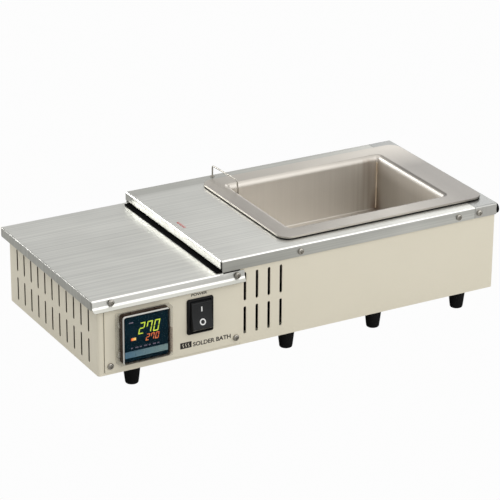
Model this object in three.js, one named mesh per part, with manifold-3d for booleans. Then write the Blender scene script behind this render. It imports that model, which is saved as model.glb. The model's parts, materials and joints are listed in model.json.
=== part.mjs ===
// Bench-top solder bath with a digital temperature controller, in millimetres.
// Modelling frame: X from the control end to the tank end, Y from front to back, Z up,
// with the casing's front left bottom corner at the origin. The group is moved at the
// end so that the row's origin is the bottom centre of the whole object.
import * as THREE from "three";
import { mergeVertices } from "three/addons/utils/BufferGeometryUtils.js";
import Module from "manifold-3d";

const wasm = await Module();
wasm.setup();

// ---- driving dimensions -------------------------------------------------------------
const GAP = 0.3; // air left between two pieces that touch
const CASE = { length: 452, depth: 205, wall: 1, bend: 2.4 };
const SHEET = 1.0; // stainless cover sheet
const CONTROL_TOP = 81; // top of the control cover
const HOT_TOP = 93.5; // top of the hot cover
const STEP_X = 131.8; // left face of the hot cover's turned-down edge
const PANEL = { x0: 6.5, x1: 153.5, z0: 3, z1: 79.4, front: -1.25, thick: 1 };
const COVER_LEFT = -7.3; // control cover's overhang past the left end
const TONGUE_X = 157; // where the control cover's front lip stops
const LIP = { kinkZ: 73.4, reach: 4, slope: 0.9, bend: 5 };
const END_SEAM = 425.6; // joint between hot cover and end cover
const COVER_RIGHT = 453.2;
const TANK = {
  x0: 231.4, x1: 411.2, y0: 37.4, y1: 164.3, floor: 36.5, wall: 2, bend: 6, corner: 2,
  flange: { x0: 209, x1: 447.6, y0: 14, y1: 188, top: 96.6, corner: 13 },
};
const LINER = { x0: 212.5, x1: 428.5, y0: 20.5, y1: 181.5, z0: 6.5, z1: 92, thick: 0.8 };
const FOOT = { top: 8.3, bottom: 6.4, height: 18, inset: 8.8, xs: [39.6, 211, 312.6, 414] };
const VENT = { width: 3, pitch: 16.45, columns: 11, rows: [[7.7, 32.7], [39.7, 63.2]] };
const FRONT_VENT = { x: 159.2, pitch: 13.4, columns: 4, rows: [[10.6, 40], [46.2, 76.3]] };
const DIN = { x: 46.6, z: 37, front: 48, body: 44.4, cutout: 45, depth: 62 };
const SWITCH = {
  x: 108.6, z: 42.4, w: 28.7, h: 36.9, pivotY: 2, r: 16.2, middle: 8, half: 10.9, swing: 20,
};
const PANEL_SCREWS = { xs: [12, 148.4], z: 9.5 };
const COVER_SCREWS = { xs: [12.6, 148.6], z: 76.7 };
const PROBE = { x: 231.5, y: 201.3, r: 0.8, bridge: 105.4, tipY: 153.6, tipZ: 47 };
const HOT_SCREWS = { xs: [220.6, 405.8], end: 430.8, z: 86.6 };
const SCREW = { head: 3.2, height: 2.1, shank: 1.4, hole: 1.75 };

// ---- geometry helpers ---------------------------------------------------------------
const v2 = (x, y) => new THREE.Vector2(x, y);

function solid(geometry) {
  const bare = new THREE.BufferGeometry();
  const flat = geometry.index ? geometry.toNonIndexed() : geometry;
  bare.setAttribute("position", flat.getAttribute("position"));
  const merged = mergeVertices(bare, 1e-4);
  return new wasm.Manifold(new wasm.Mesh({
    numProp: 3,
    vertProperties: merged.attributes.position.array,
    triVerts: new Uint32Array(merged.index.array),
  }));
}

function geometryOf(manifold) {
  const mesh = manifold.getMesh();
  const g = new THREE.BufferGeometry();
  g.setAttribute("position", new THREE.BufferAttribute(new Float32Array(mesh.vertProperties), 3));
  g.setIndex(new THREE.BufferAttribute(new Uint32Array(mesh.triVerts), 1));
  const flat = g.toNonIndexed();
  flat.computeVertexNormals();
  return flat;
}

const fuse = (first, ...rest) =>
  geometryOf(rest.reduce((sum, g) => sum.add(solid(g)), solid(first)));
const cut = (first, ...rest) =>
  geometryOf(rest.reduce((sum, g) => sum.subtract(solid(g)), solid(first)));

function box(x0, x1, y0, y1, z0, z1) {
  return new THREE.BoxGeometry(x1 - x0, y1 - y0, z1 - z0)
    .translate((x0 + x1) / 2, (y0 + y1) / 2, (z0 + z1) / 2);
}

// A closed outline drawn in XY, YZ or XZ and pushed along the third axis from a to b.
const EXTRUDE = (depth) => ({ depth, bevelEnabled: false, curveSegments: 5 });
function alongZ(outline, a, b) {
  return new THREE.ExtrudeGeometry(outline, EXTRUDE(b - a)).translate(0, 0, a);
}
function alongX(outline, a, b) {
  const turn = new THREE.Matrix4().set(0, 0, 1, a, 1, 0, 0, 0, 0, 1, 0, 0, 0, 0, 0, 1);
  return new THREE.ExtrudeGeometry(outline, EXTRUDE(b - a)).applyMatrix4(turn);
}
function alongY(outline, a, b) {
  return new THREE.ExtrudeGeometry(outline, EXTRUDE(b - a)).rotateX(Math.PI / 2).translate(0, b, 0);
}

function arc(cx, cy, r, from, to, steps) {
  return Array.from({ length: steps + 1 }, (_, i) => {
    const a = from + ((to - from) * i) / steps;
    return v2(cx + r * Math.cos(a), cy + r * Math.sin(a));
  });
}

function roundedPoints(x0, x1, y0, y1, r, steps = 3) {
  const q = Math.PI / 2;
  return [
    ...arc(x1 - r, y0 + r, r, -q, 0, steps), ...arc(x1 - r, y1 - r, r, 0, q, steps),
    ...arc(x0 + r, y1 - r, r, q, 2 * q, steps), ...arc(x0 + r, y0 + r, r, 2 * q, 3 * q, steps),
  ];
}
const rounded = (...a) => new THREE.Shape(roundedPoints(...a));
const roundHole = (x, y, r, steps = 12) =>
  new THREE.Path(arc(x, y, r, 0, 2 * Math.PI, steps).slice(0, -1));
const pierced = (shape, ...holes) => {
  shape.holes.push(...holes.map((h) => (h instanceof THREE.Path ? h : new THREE.Path(h))));
  return shape;
};

// Outline of a sheet of thickness t bent along a middle line. radii is one bend radius for
// all corners, or one for each.
function bent(path, t, radii, steps = 3) {
  const mid = [];
  const push = (p, dir) => mid.push([p, v2(-dir.y, dir.x)]);
  const dir = (a, b) => b.clone().sub(a).normalize();
  push(path[0], dir(path[0], path[1]));
  for (let i = 1; i < path.length - 1; i++) {
    const before = dir(path[i - 1], path[i]);
    const after = dir(path[i], path[i + 1]);
    const turn = Math.atan2(before.cross(after), before.dot(after));
    const r = Array.isArray(radii) ? radii[i - 1] : radii;
    const reach = r * Math.tan(Math.abs(turn) / 2);
    const side = Math.sign(turn);
    const start = path[i].clone().addScaledVector(before, -reach);
    const centre = start.clone().add(v2(-before.y, before.x).multiplyScalar(side * r));
    for (let k = 0; k <= steps; k++) {
      const spin = (turn * k) / steps;
      const p = start.clone().rotateAround(centre, spin);
      push(p, before.clone().rotateAround(v2(0, 0), spin));
    }
  }
  const last = path.length - 1;
  push(path[last], dir(path[last - 1], path[last]));
  const left = mid.map(([p, n]) => p.clone().addScaledVector(n, t / 2));
  const right = mid.map(([p, n]) => p.clone().addScaledVector(n, -t / 2));
  return new THREE.Shape([...right, ...left.reverse()]);
}

// A turned piece: [radius, height] pairs about +Z, from the axis back to the axis.
function turned(profile, segments = 20) {
  return new THREE.LatheGeometry(profile.map(([r, z]) => v2(r, z)), segments).rotateX(Math.PI / 2);
}

// Closed skin over a stack of rings with equal point counts; the first and last are capped.
function loft(rings) {
  const n = rings[0].length;
  const verts = [];
  const tri = (a, b, c) => verts.push(...a, ...b, ...c);
  const middle = (ring) => ring.reduce((s, p) => s.map((v, i) => v + p[i] / n), [0, 0, 0]);
  for (let k = 0; k < rings.length - 1; k++) {
    for (let i = 0; i < n; i++) {
      const j = (i + 1) % n;
      tri(rings[k][i], rings[k][j], rings[k + 1][j]);
      tri(rings[k][i], rings[k + 1][j], rings[k + 1][i]);
    }
  }
  const [first, last] = [rings[0], rings[rings.length - 1]];
  for (let i = 0; i < n; i++) {
    const j = (i + 1) % n;
    tri(middle(first), first[j], first[i]);
    tri(middle(last), last[i], last[j]);
  }
  const g = new THREE.BufferGeometry();
  g.setAttribute("position", new THREE.Float32BufferAttribute(verts, 3));
  g.computeVertexNormals();
  return g;
}
const ring = (x0, x1, y0, y1, r, z, steps) =>
  roundedPoints(x0, x1, y0, y1, r, steps).map((p) => [p.x, p.y, z]);

// ---- materials ----------------------------------------------------------------------
const material = (name, color, roughness, metalness) =>
  Object.assign(new THREE.MeshStandardMaterial({ color, roughness, metalness }), { name });
const MATERIALS = {
  cream_paint: material("cream_paint", 0xd9d3bf, 0.45, 0.1),
  cover_steel: material("cover_steel", 0xc9c8c4, 0.3, 0.9),
  tank_steel: material("tank_steel", 0xb4afa8, 0.35, 0.9),
  zinc_sheet: material("zinc_sheet", 0xa9adb0, 0.4, 0.8),
  black_sheet: material("black_sheet", 0x202022, 0.6, 0.3),
  insulation: material("insulation", 0xd8d0bd, 0.95, 0),
  black_plastic: material("black_plastic", 0x19191b, 0.4, 0),
  screen: material("screen", 0x0c2230, 0.12, 0),
  key_band: material("key_band", 0x7698a0, 0.4, 0),
  clear_plastic: material("clear_plastic", 0xe6e4dc, 0.1, 0),
  rubber: material("rubber", 0x141414, 0.8, 0),
  screw_steel: material("screw_steel", 0xcfcfcc, 0.22, 1),
  probe_steel: material("probe_steel", 0xb9b4aa, 0.3, 1),
  aluminium: material("aluminium", 0xbfc1c3, 0.4, 0.9),
  terminal: material("terminal", 0xd9d6cc, 0.6, 0),
};

const group = new THREE.Group();
group.name = "solder_bath";
function add(name, slot, geometry) {
  const mesh = new THREE.Mesh(geometry, MATERIALS[slot].clone());
  mesh.name = name;
  group.add(mesh);
}

// ---- casing -------------------------------------------------------------------------
const W = CASE.wall;
const BACK = CASE.depth;

function baseTray() {
  const x0 = W + GAP, x1 = CASE.length - W - GAP, y0 = W + GAP, y1 = BACK - W - GAP;
  const plate = rounded(x0, x1, y0, y1, 1.4, 2);
  for (let i = 0; i < 6; i++) {
    const x = 30 + i * 16;
    plate.holes.push(new THREE.Path(roundedPoints(x, x + 4, 60, 100, 1.9, 2)));
  }
  const rim = 13.2;
  return fuse(
    alongZ(plate, 0, W),
    cut(
      alongZ(rounded(x0, x1, y0, y1, 1.4, 2), 0, rim),
      box(x0 + W, x1 - W, y0 + W, y1 - W, -1, rim + 1),
    ),
  );
}

function ventSlots(columns, start, pitch, rows, make) {
  const slots = [];
  for (let i = 0; i < columns; i++) {
    for (const [z0, z1] of rows) {
      const u = start + i * pitch;
      slots.push(make(rounded(u - VENT.width / 2, u + VENT.width / 2, z0, z1, 1.4, 2)));
    }
  }
  return slots;
}

function controlWrap() {
  const h = W / 2;
  const path = [v2(6.2, BACK - h), v2(h, BACK - h), v2(h, h), v2(6.2, h)];
  const sill = (y) => box(5, PANEL.x1, y, y + W, 0, PANEL.z0 - GAP);
  const skin = fuse(alongZ(bent(path, W, CASE.bend), 0, 79.7), sill(0), sill(BACK - W));
  const first = BACK / 2 - ((VENT.columns - 1) / 2) * VENT.pitch;
  return cut(skin, ...ventSlots(VENT.columns, first, VENT.pitch, VENT.rows,
    (slot) => alongX(slot, -1, W + 1)));
}

function hotWrap() {
  const h = W / 2;
  const x = PANEL.x1 + GAP;
  const far = CASE.length - h;
  const path = [v2(x, h), v2(far, h), v2(far, BACK - h), v2(x, BACK - h)];
  const skin = alongZ(bent(path, W, CASE.bend), 0, 92.2);
  return cut(skin, ...ventSlots(FRONT_VENT.columns, FRONT_VENT.x, FRONT_VENT.pitch,
    FRONT_VENT.rows, (slot) => alongY(slot, -1, W + 1)));
}

function controlPanel() {
  const plate = pierced(
    rounded(PANEL.x0, PANEL.x1, PANEL.z0, PANEL.z1, 1, 2),
    roundedPoints(DIN.x - DIN.cutout / 2, DIN.x + DIN.cutout / 2,
      DIN.z - DIN.cutout / 2, DIN.z + DIN.cutout / 2, 1, 2),
    roundedPoints(SWITCH.x - 12.9, SWITCH.x + 12.9, SWITCH.z - 17.7, SWITCH.z + 17.7, 1, 2),
    ...PANEL_SCREWS.xs.map((x) => roundHole(x, PANEL_SCREWS.z, SCREW.hole)),
  );
  return alongY(plate, PANEL.front, PANEL.front + PANEL.thick);
}

function controlBackPanel() {
  const plate = pierced(
    rounded(PANEL.x0, PANEL.x1, PANEL.z0, PANEL.z1, 1, 2),
    roundedPoints(24.7, 53.3, 19.6, 42.4, 1, 2),
    roundHole(78, 31, 6.6, 20), roundHole(104, 31, 1.9, 12),
    ...PANEL_SCREWS.xs.map((x) => roundHole(x, PANEL_SCREWS.z, SCREW.hole)),
  );
  return alongY(plate, BACK + 0.25, BACK + 0.25 + PANEL.thick);
}

function partition() {
  const plate = pierced(rounded(3.2, BACK - 3.2, W + GAP, 92.2, 1, 2),
    roundHole(40, 20, 6, 16), roundHole(160, 20, 6, 16));
  return alongX(plate, 136, 137.2);
}

// ---- stainless covers ---------------------------------------------------------------
function frontHole(x, z, side) {
  const y = side < 0 ? [-4, 0] : [BACK, BACK + 4];
  return alongY(new THREE.Shape(arc(x, z, SCREW.hole, 0, 2 * Math.PI, 12).slice(0, -1)), ...y);
}

function controlCover() {
  const t = SHEET / 2;
  const mid = CONTROL_TOP - t;
  const face = 2; // middle of the front and back flanges, out from the casing
  const kink = v2(-face - LIP.slope, LIP.kinkZ);
  const lipEnd = v2(kink.x - 0.85 * LIP.reach, LIP.kinkZ - LIP.reach);
  const rearEnd = v2(BACK + face, 71.5);
  const across = bent([lipEnd, kink, v2(-face, mid), v2(BACK + face, mid), rearEnd], SHEET,
    [LIP.bend, 1.2, 1.2]);
  const tongue = bent([lipEnd, kink, v2(-face, CONTROL_TOP - 0.6)], SHEET, LIP.bend);
  const leftMid = COVER_LEFT + t;
  const side = bent([v2(leftMid, 71), v2(leftMid, mid), v2(20, mid)], SHEET, 1.2);
  const body = fuse(
    alongX(across, COVER_LEFT + 0.4, 134),
    alongX(tongue, 130, TONGUE_X),
    alongX(bent([v2(BACK + face, CONTROL_TOP - 0.6), rearEnd], SHEET, 1), 130, TONGUE_X),
    alongY(side, -1.1, BACK + 1.1),
  );
  // the lip's left end is rounded off
  const round = 4;
  const [left, low] = [COVER_LEFT + 0.4, lipEnd.y - t];
  const corner = cut(box(left - 2, left + round, -12, -1.4, low - 2, low + round),
    alongY(new THREE.Shape(arc(left + round, low + round, round, 0, 2 * Math.PI, 20).slice(0, -1)),
      -13, -1));
  return cut(body, corner, ...COVER_SCREWS.xs.flatMap((x) =>
    [frontHole(x, COVER_SCREWS.z, -1), frontHole(x, COVER_SCREWS.z, 1)]));
}

const HOLE = { x0: 225, x1: 418, y0: 30.9, y1: 171 }; // cut-out the tank hangs in

function hotProfile(bottom) {
  const mid = HOT_TOP - SHEET / 2;
  const face = 0.8;
  return bent([v2(-face, bottom), v2(-face, mid), v2(BACK + face, mid), v2(BACK + face, bottom)],
    SHEET, 1.2);
}

function hotCover() {
  const mid = HOT_TOP - SHEET / 2;
  const left = STEP_X + SHEET / 2;
  const side = bent([v2(left, 85), v2(left, mid), v2(left + 20, mid)], SHEET, 1.2);
  const body = fuse(
    alongX(hotProfile(81.3), STEP_X + 1.6, END_SEAM - 0.2),
    alongY(side, 0.3, BACK - 0.3),
  );
  return cut(body,
    alongZ(rounded(HOLE.x0, HOLE.x1, HOLE.y0, HOLE.y1, 6), 90, 95),
    alongZ(new THREE.Shape(arc(PROBE.x, PROBE.y, 1.9, 0, 2 * Math.PI, 12).slice(0, -1)), 90, 95),
    ...HOT_SCREWS.xs.flatMap((x) => [-1, 1].map((side) => frontHole(x, HOT_SCREWS.z, side))));
}

function endCover() {
  const mid = HOT_TOP - SHEET / 2;
  const right = COVER_RIGHT - SHEET / 2;
  const side = bent([v2(right - 15, mid), v2(right, mid), v2(right, 81.3)], SHEET, 1.2);
  const body = fuse(
    alongX(hotProfile(81.3), END_SEAM + 0.2, COVER_RIGHT - 1.6),
    alongY(side, 0.3, BACK - 0.3),
  );
  return cut(body, ...[-1, 1].map((side) => frontHole(HOT_SCREWS.end, HOT_SCREWS.z, side)));
}

function stepRiser() {
  const z = CONTROL_TOP + GAP;
  return alongY(bent([v2(128.2, z + 0.5), v2(134.1, z + 0.5), v2(134.1, 92.2)], 1, 0.8, 2),
    0.8, BACK - 4.6);
}

// ---- tank and heating ---------------------------------------------------------------
function tank() {
  const f = TANK.flange;
  const w = TANK.wall;
  const under = f.top - w;
  const n = 4;
  // grow() is the inner wall's outline moved out by d
  const grow = (d, z) =>
    ring(TANK.x0 - d, TANK.x1 + d, TANK.y0 - d, TANK.y1 + d, TANK.corner + d, z, n);
  const edge = (d, z) =>
    ring(f.x0 + d, f.x1 - d, f.y0 + d, f.y1 - d, f.corner - d, z, n);
  const rings = [grow(w - 1, TANK.floor - w), grow(w, TANK.floor - w + 1)];
  const inner = TANK.bend - w;
  for (let k = 0; k <= 3; k++) {
    const a = (Math.PI / 2) * (k / 3);
    rings.push(grow(w + inner * (1 - Math.cos(a)), under - inner * (1 - Math.sin(a))));
  }
  rings.push(edge(0.3, under), edge(0, under + 0.3), edge(0, f.top - 0.5), edge(0.5, f.top));
  for (let k = 4; k >= 0; k--) {
    const a = (Math.PI / 2) * (k / 4);
    rings.push(grow(TANK.bend * (1 - Math.cos(a)), f.top - TANK.bend * (1 - Math.sin(a))));
  }
  rings.push(grow(0, TANK.floor + 1.2), grow(-1.2, TANK.floor));
  return loft(rings);
}

function tankGasket() {
  return alongZ(pierced(rounded(212.5, 444, 17.5, 184.5, 5),
    roundedPoints(HOLE.x0 + 1, HOLE.x1 - 1, HOLE.y0 + 1, HOLE.y1 - 1, 5)), 93.8, 94.3);
}

function openBox(o, t, top) {
  return cut(box(o.x0, o.x1, o.y0, o.y1, o.z0, top),
    box(o.x0 + t, o.x1 - t, o.y0 + t, o.y1 - t, o.z0 + t, top + 1));
}

function insulationTray() {
  const d = LINER.thick + GAP;
  return cut(
    box(LINER.x0 + d, LINER.x1 - d, LINER.y0 + d, LINER.y1 - d, LINER.z0 + d, LINER.z1),
    box(226.2, 415.2, 32.7, 169.5, 26, LINER.z1 + 1));
}

function heaterPlate() {
  return fuse(box(236, 405, 44, 158, 30.2, 34.2),
    box(227.5, 237, 70, 80, 31, 33.4), box(227.5, 237, 120, 130, 31, 33.4));
}

function heaterClamp() {
  return fuse(box(250, 262, 50, 152, 26.3, 29.9), box(380, 392, 50, 152, 26.3, 29.9),
    box(250, 392, 95, 107, 26.3, 29.9));
}

// ---- thermocouple -------------------------------------------------------------------
// Sheath of round section along a path, its corners rounded.
function sheath(corners, r, reach, sides = 8) {
  const stops = [[corners[0], corners[1].clone().sub(corners[0]).normalize()]];
  for (let i = 1; i < corners.length - 1; i++) {
    const before = corners[i].clone().sub(corners[i - 1]).normalize();
    const after = corners[i + 1].clone().sub(corners[i]).normalize();
    const curve = new THREE.QuadraticBezierCurve3(
      corners[i].clone().addScaledVector(before, -reach), corners[i],
      corners[i].clone().addScaledVector(after, reach));
    for (let k = 0; k <= 5; k++) stops.push([curve.getPoint(k / 5), curve.getTangent(k / 5)]);
  }
  const last = corners.length - 1;
  stops.push([corners[last], corners[last].clone().sub(corners[last - 1]).normalize()]);
  const side = new THREE.Vector3(1, 0, 0);
  return loft(stops.map(([p, along]) => {
    const u = side.clone().addScaledVector(along, -side.dot(along)).normalize();
    const v = along.clone().cross(u);
    return Array.from({ length: sides }, (_, i) => {
      const a = (2 * Math.PI * i) / sides;
      return p.clone().addScaledVector(u, r * Math.cos(a)).addScaledVector(v, r * Math.sin(a))
        .toArray();
    });
  }));
}

function probe() {
  const { x, y, bridge, tipY, tipZ } = PROBE;
  return sheath([
    new THREE.Vector3(x, y, 30), new THREE.Vector3(x, y, bridge),
    new THREE.Vector3(x + 3, tipY, bridge), new THREE.Vector3(x + 6.6, tipY - 3.6, tipZ),
  ], PROBE.r, 3);
}

function probeCollar() {
  const r = PROBE.r + 0.08;
  return turned([[r, 89.5], [1.6, 89.5], [1.6, HOT_TOP + GAP], [2.3, HOT_TOP + GAP], [2.3, 94.2],
    [1.9, 94.5], [r, 94.5], [r, 89.5]], 16).translate(PROBE.x, PROBE.y, 0);
}

// ---- controller ---------------------------------------------------------------------
const D = DIN.front / 2;
const WINDOW = { x0: DIN.x - 22.6, x1: DIN.x + 22.6, z0: 24.5, z1: 59.6 };
const BAND = { z0: 17.7, z1: 24.2 };
const KEY_XS = [-15.9, -5.3, 5.3, 15.9];
const DIN_FACE = -10; // front plane of the bezel

function controllerBody() {
  const h = DIN.body / 2;
  return fuse(
    alongY(rounded(DIN.x - h, DIN.x + h, DIN.z - h, DIN.z + h, 1, 2), PANEL.front, DIN.depth),
    box(DIN.x - 6, DIN.x + 6, 20, 50, DIN.z + h - 0.5, DIN.z + h + 2.5),
    box(DIN.x - 6, DIN.x + 6, 20, 50, DIN.z - h - 2.5, DIN.z - h + 0.5),
  );
}

function controllerBezel() {
  const at = (d, y) => roundedPoints(DIN.x - D + d, DIN.x + D - d, DIN.z - D + d, DIN.z + D - d,
    2.2 - d, 2).map((p) => [p.x, y, p.y]);
  const shell = loft([at(0, PANEL.front - GAP), at(0, DIN_FACE + 0.8), at(0.5, DIN_FACE)]);
  return cut(shell, box(WINDOW.x0 - GAP, WINDOW.x1 + GAP, -14, DIN_FACE + 2.3,
    BAND.z0 - GAP, WINDOW.z1 + GAP));
}

function controllerWindow() {
  return alongY(rounded(WINDOW.x0, WINDOW.x1, WINDOW.z0, WINDOW.z1, 0.6, 2),
    DIN_FACE + 0.2, DIN_FACE + 1.9);
}

function keyBand() {
  const plate = rounded(WINDOW.x0, WINDOW.x1, BAND.z0, BAND.z1, 0.4, 2);
  for (const x of KEY_XS)
    plate.holes.push(new THREE.Path(roundedPoints(DIN.x + x - 4.2, DIN.x + x + 4.2,
      BAND.z0 + 1, BAND.z1 - 1, 1, 2)));
  return alongY(plate, DIN_FACE + 0.2, DIN_FACE + 1.4);
}

function key(x) {
  return alongY(rounded(DIN.x + x - 3.95, DIN.x + x + 3.95, BAND.z0 + 1.25, BAND.z1 - 1.25,
    0.8, 2), DIN_FACE + 0.1, DIN_FACE + 1.4);
}

// ---- clear instrument cover ---------------------------------------------------------
const HINGE = { x: DIN.x - 27.2, y: -4.3, r: 1.1, zs: [18, 49] };
const DOOR = { half: 25.4, back: -3.1, front: -11.4, wall: 0.9 };

const knuckle = (z0, z1) => turned([[0, z0], [HINGE.r, z0], [HINGE.r, z1], [0, z1]], 12)
  .translate(HINGE.x, HINGE.y, 0);

function coverFrame() {
  const top = DIN.z + 25.9;
  const outline = new THREE.Shape([
    v2(DIN.x - 24.1, 6.9), v2(DIN.x + 32.3, 6.9), v2(DIN.x + 32.3, top - 4.5),
    v2(DIN.x + 27.8, top), v2(DIN.x - 29.1, top), v2(DIN.x - 29.1, 11.9),
  ]);
  const plate = pierced(outline, roundedPoints(DIN.x - 24.4, DIN.x + 24.4, DIN.z - 24.4,
    DIN.z + 24.4, 2.4, 2));
  const lugs = HINGE.zs.flatMap((z) => [[z - 3.4, z - 0.2], [z + 6.2, z + 9.4]]);
  return fuse(alongY(plate, PANEL.front - GAP - 1.2, PANEL.front - GAP),
    ...lugs.flatMap(([a, b]) => [
      knuckle(a, b),
      box(HINGE.x - 1, HINGE.x + 1, HINGE.y, PANEL.front - GAP - 1, a, b),
    ]));
}

function coverDoor() {
  const h = DOOR.half;
  const sq = (d) => [DIN.x - h + d, DIN.x + h - d, DIN.z - h + d, DIN.z + h - d];
  const shell = cut(
    alongY(rounded(...sq(0), 3), DOOR.front, DOOR.back),
    alongY(rounded(...sq(DOOR.wall), 2), DOOR.front + DOOR.wall, DOOR.back + 1));
  return fuse(shell,
    ...HINGE.zs.flatMap((z) => [
      knuckle(z, z + 6),
      box(HINGE.x, DIN.x - h + 0.6, HINGE.y - 1, HINGE.y + 1, z, z + 6),
    ]),
    box(DIN.x + h - 0.6, DIN.x + h + 3.2, DOOR.front + 2.8, DOOR.back - 0.6, 13, 39),
    box(DIN.x - 15, DIN.x - 11, -9, -5, DIN.z + h - 0.4, DIN.z + h + 0.8),
    box(DIN.x + 11, DIN.x + 15, -9, -5, DIN.z + h - 0.4, DIN.z + h + 0.8),
  );
}

// ---- rocker switch ------------------------------------------------------------------
function switchHousing() {
  const { x, z, w, h } = SWITCH;
  const at = (d, y) => roundedPoints(x - w / 2 + d, x + w / 2 - d, z - h / 2 + d, z + h / 2 - d,
    2 - d, 2).map((p) => [p.x, y, p.y]);
  const bezel = loft([at(0, PANEL.front - GAP), at(0, PANEL.front - GAP - 1.2),
    at(0.9, PANEL.front - GAP - 2)]);
  const body = box(x - 12.6, x + 12.6, PANEL.front - GAP - 0.5, 25, z - 17.4, z + 17.4);
  const tabs = [-7, 0, 7].map((dx) => box(x + dx - 0.4, x + dx + 0.4, 24.5, 33, z - 12, z - 6));
  return cut(fuse(bezel, body, ...tabs), box(x - 11.3, x + 11.3, -12, 10.6, z - 16.6, z + 16.6));
}

// Cross-section of the rocker at rest, with its upper half pressed in.
function switchRocker() {
  const { x, z, pivotY, r, middle, half: wide, swing } = SWITCH;
  const half = THREE.MathUtils.degToRad(swing / 2);
  const spread = THREE.MathUtils.degToRad(53.5); // corners, either side of the middle
  const point = (radius, angle) =>
    v2(pivotY - radius * Math.cos(angle - half), z - radius * Math.sin(angle - half));
  const fan = (from, to) => Array.from({ length: 4 }, (_, i) => point(r, from + ((to - from) * i) / 3));
  const outline = [
    ...fan((105 * Math.PI) / 180, spread), point(middle, 0), ...fan(-spread, (-105 * Math.PI) / 180),
  ];
  return alongX(new THREE.Shape(outline), x - wide, x + wide);
}

// ---- electrical parts inside and at the back ----------------------------------------
function heatSink() {
  const fins = Array.from({ length: 9 }, (_, i) => box(52 + i * 8, 54.4 + i * 8, 96, 166, 1.6, 12.2));
  return fuse(box(52, 118.4, 96, 166, 9.4, 12.2), ...fins);
}

function relay() {
  return fuse(box(60, 104, 102, 160, 12.5, 32),
    box(63, 101, 104, 114, 31.5, 37), box(63, 101, 148, 158, 31.5, 37));
}

function terminalBlock() {
  const posts = Array.from({ length: 5 }, (_, i) => box(16, 32, 109 + i * 10, 110.4 + i * 10, 7, 22));
  return fuse(box(16, 32, 100, 160, 1.6, 14), ...posts);
}

function limiter() {
  return turned([[0, 60], [8, 60], [8, 66], [12.5, 66], [12.5, 68], [8.2, 68], [8.2, 74],
    [0, 74]], 20).rotateY(Math.PI / 2).translate(77.5, 150, 60);
}

// Power inlet: a recess with three blades, flush plate outside the back panel.
function mainsInlet() {
  const face = BACK + 1.25 + GAP;
  const plate = alongY(rounded(22.5, 55.5, 17.5, 44.5, 2, 2), face, face + 2);
  const body = box(25, 53, BACK - 22, face + 0.5, 20, 42);
  const mouth = new THREE.Shape([v2(27, 22.5), v2(51, 22.5), v2(51, 34.5), v2(46.5, 39),
    v2(31.5, 39), v2(27, 34.5)]);
  const blades = [[32, 28], [39, 32], [46, 28]].map(([x, z]) =>
    box(x - 1, x + 1, BACK - 19, BACK - 3, z - 2, z + 2));
  return fuse(cut(fuse(plate, body), alongY(mouth, BACK - 16, face + 3)), ...blades);
}

function fuseHolder() {
  const face = BACK + 1.25 + GAP;
  return turned([[5, -24], [6.2, -24], [6.2, 0], [9, 0], [9, 1.6], [8.2, 2.2], [5, 2.2], [5, -24]], 20)
    .rotateX(-Math.PI / 2).translate(78, face, 31);
}

function fuseCap() {
  const face = BACK + 1.25 + GAP;
  return fuse(
    turned([[0, -8], [4.7, -8], [4.7, 2.5], [7.2, 2.5], [7.2, 8.4], [6.6, 9], [0, 9]], 20)
      .rotateX(-Math.PI / 2).translate(78, face, 31),
    box(70.4, 85.6, face + 4.5, face + 8.2, 29.8, 32.2));
}

function earthStud() {
  return turned([[0, -4], [1.7, -4], [1.7, 1.9], [3.6, 1.9], [3.6, 4.4], [1.7, 4.4], [1.7, 8], [0, 8]],
    12).rotateX(-Math.PI / 2).translate(104, BACK, 31);
}

// ---- feet, bumpers, screws ----------------------------------------------------------
function foot(x, y) {
  const { top, bottom, height } = FOOT;
  return turned([[0, -height], [bottom - 1.5, -height], [bottom - 0.3, -height + 0.8],
    [bottom, -height + 2.2], [top, -1.5], [top, -GAP], [0, -GAP]], 20).translate(x, y, 0);
}

function bumper(y) {
  return turned([[0, 0], [5.4, 0], [5.4, 1.9], [5.1, 2.4], [4.5, 2.6], [0, 2.6]], 20)
    .rotateY(Math.PI / 2).translate(COVER_RIGHT + GAP, y, 85.6);
}

// Pan-head screw standing on a face at y, pointing out along side (-1 front, +1 back).
function screw(x, y, z, side) {
  const { head, height, shank } = SCREW;
  return turned([[0, -1.2], [shank, -1.2], [shank, GAP], [head, GAP], [head, 1],
    [head * 0.8, height * 0.85], [head * 0.4, height + GAP], [0, height + GAP]], 16)
    .rotateX((-side * Math.PI) / 2).translate(x, y, z);
}

// ---- assembly -----------------------------------------------------------------------
add("base_tray", "zinc_sheet", baseTray());
add("control_wrap", "cream_paint", controlWrap());
add("hot_wrap", "cream_paint", hotWrap());
add("control_panel", "cream_paint", controlPanel());
add("control_back_panel", "cream_paint", controlBackPanel());
add("partition", "zinc_sheet", partition());
add("step_riser", "black_sheet", stepRiser());
add("control_cover", "cover_steel", controlCover());
add("hot_cover", "cover_steel", hotCover());
add("end_cover", "cover_steel", endCover());

add("tank", "tank_steel", tank());
add("tank_gasket", "insulation", tankGasket());
add("heater_plate", "aluminium", heaterPlate());
add("heater_clamp", "zinc_sheet", heaterClamp());
add("insulation_tray", "insulation", insulationTray());
add("tank_liner", "zinc_sheet", openBox(LINER, LINER.thick, LINER.z1));
add("probe_collar", "probe_steel", probeCollar());
add("thermocouple_probe", "probe_steel", probe());

add("controller_body", "black_plastic", controllerBody());
add("controller_bezel", "black_plastic", controllerBezel());
add("controller_window", "screen", controllerWindow());
add("controller_key_band", "key_band", keyBand());
KEY_XS.forEach((x, i) => add(`controller_key_${i + 1}`, "key_band", key(x)));
add("cover_frame", "clear_plastic", coverFrame());
add("cover_door", "clear_plastic", coverDoor());
add("switch_housing", "black_plastic", switchHousing());
add("switch_rocker", "black_plastic", switchRocker());

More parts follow.
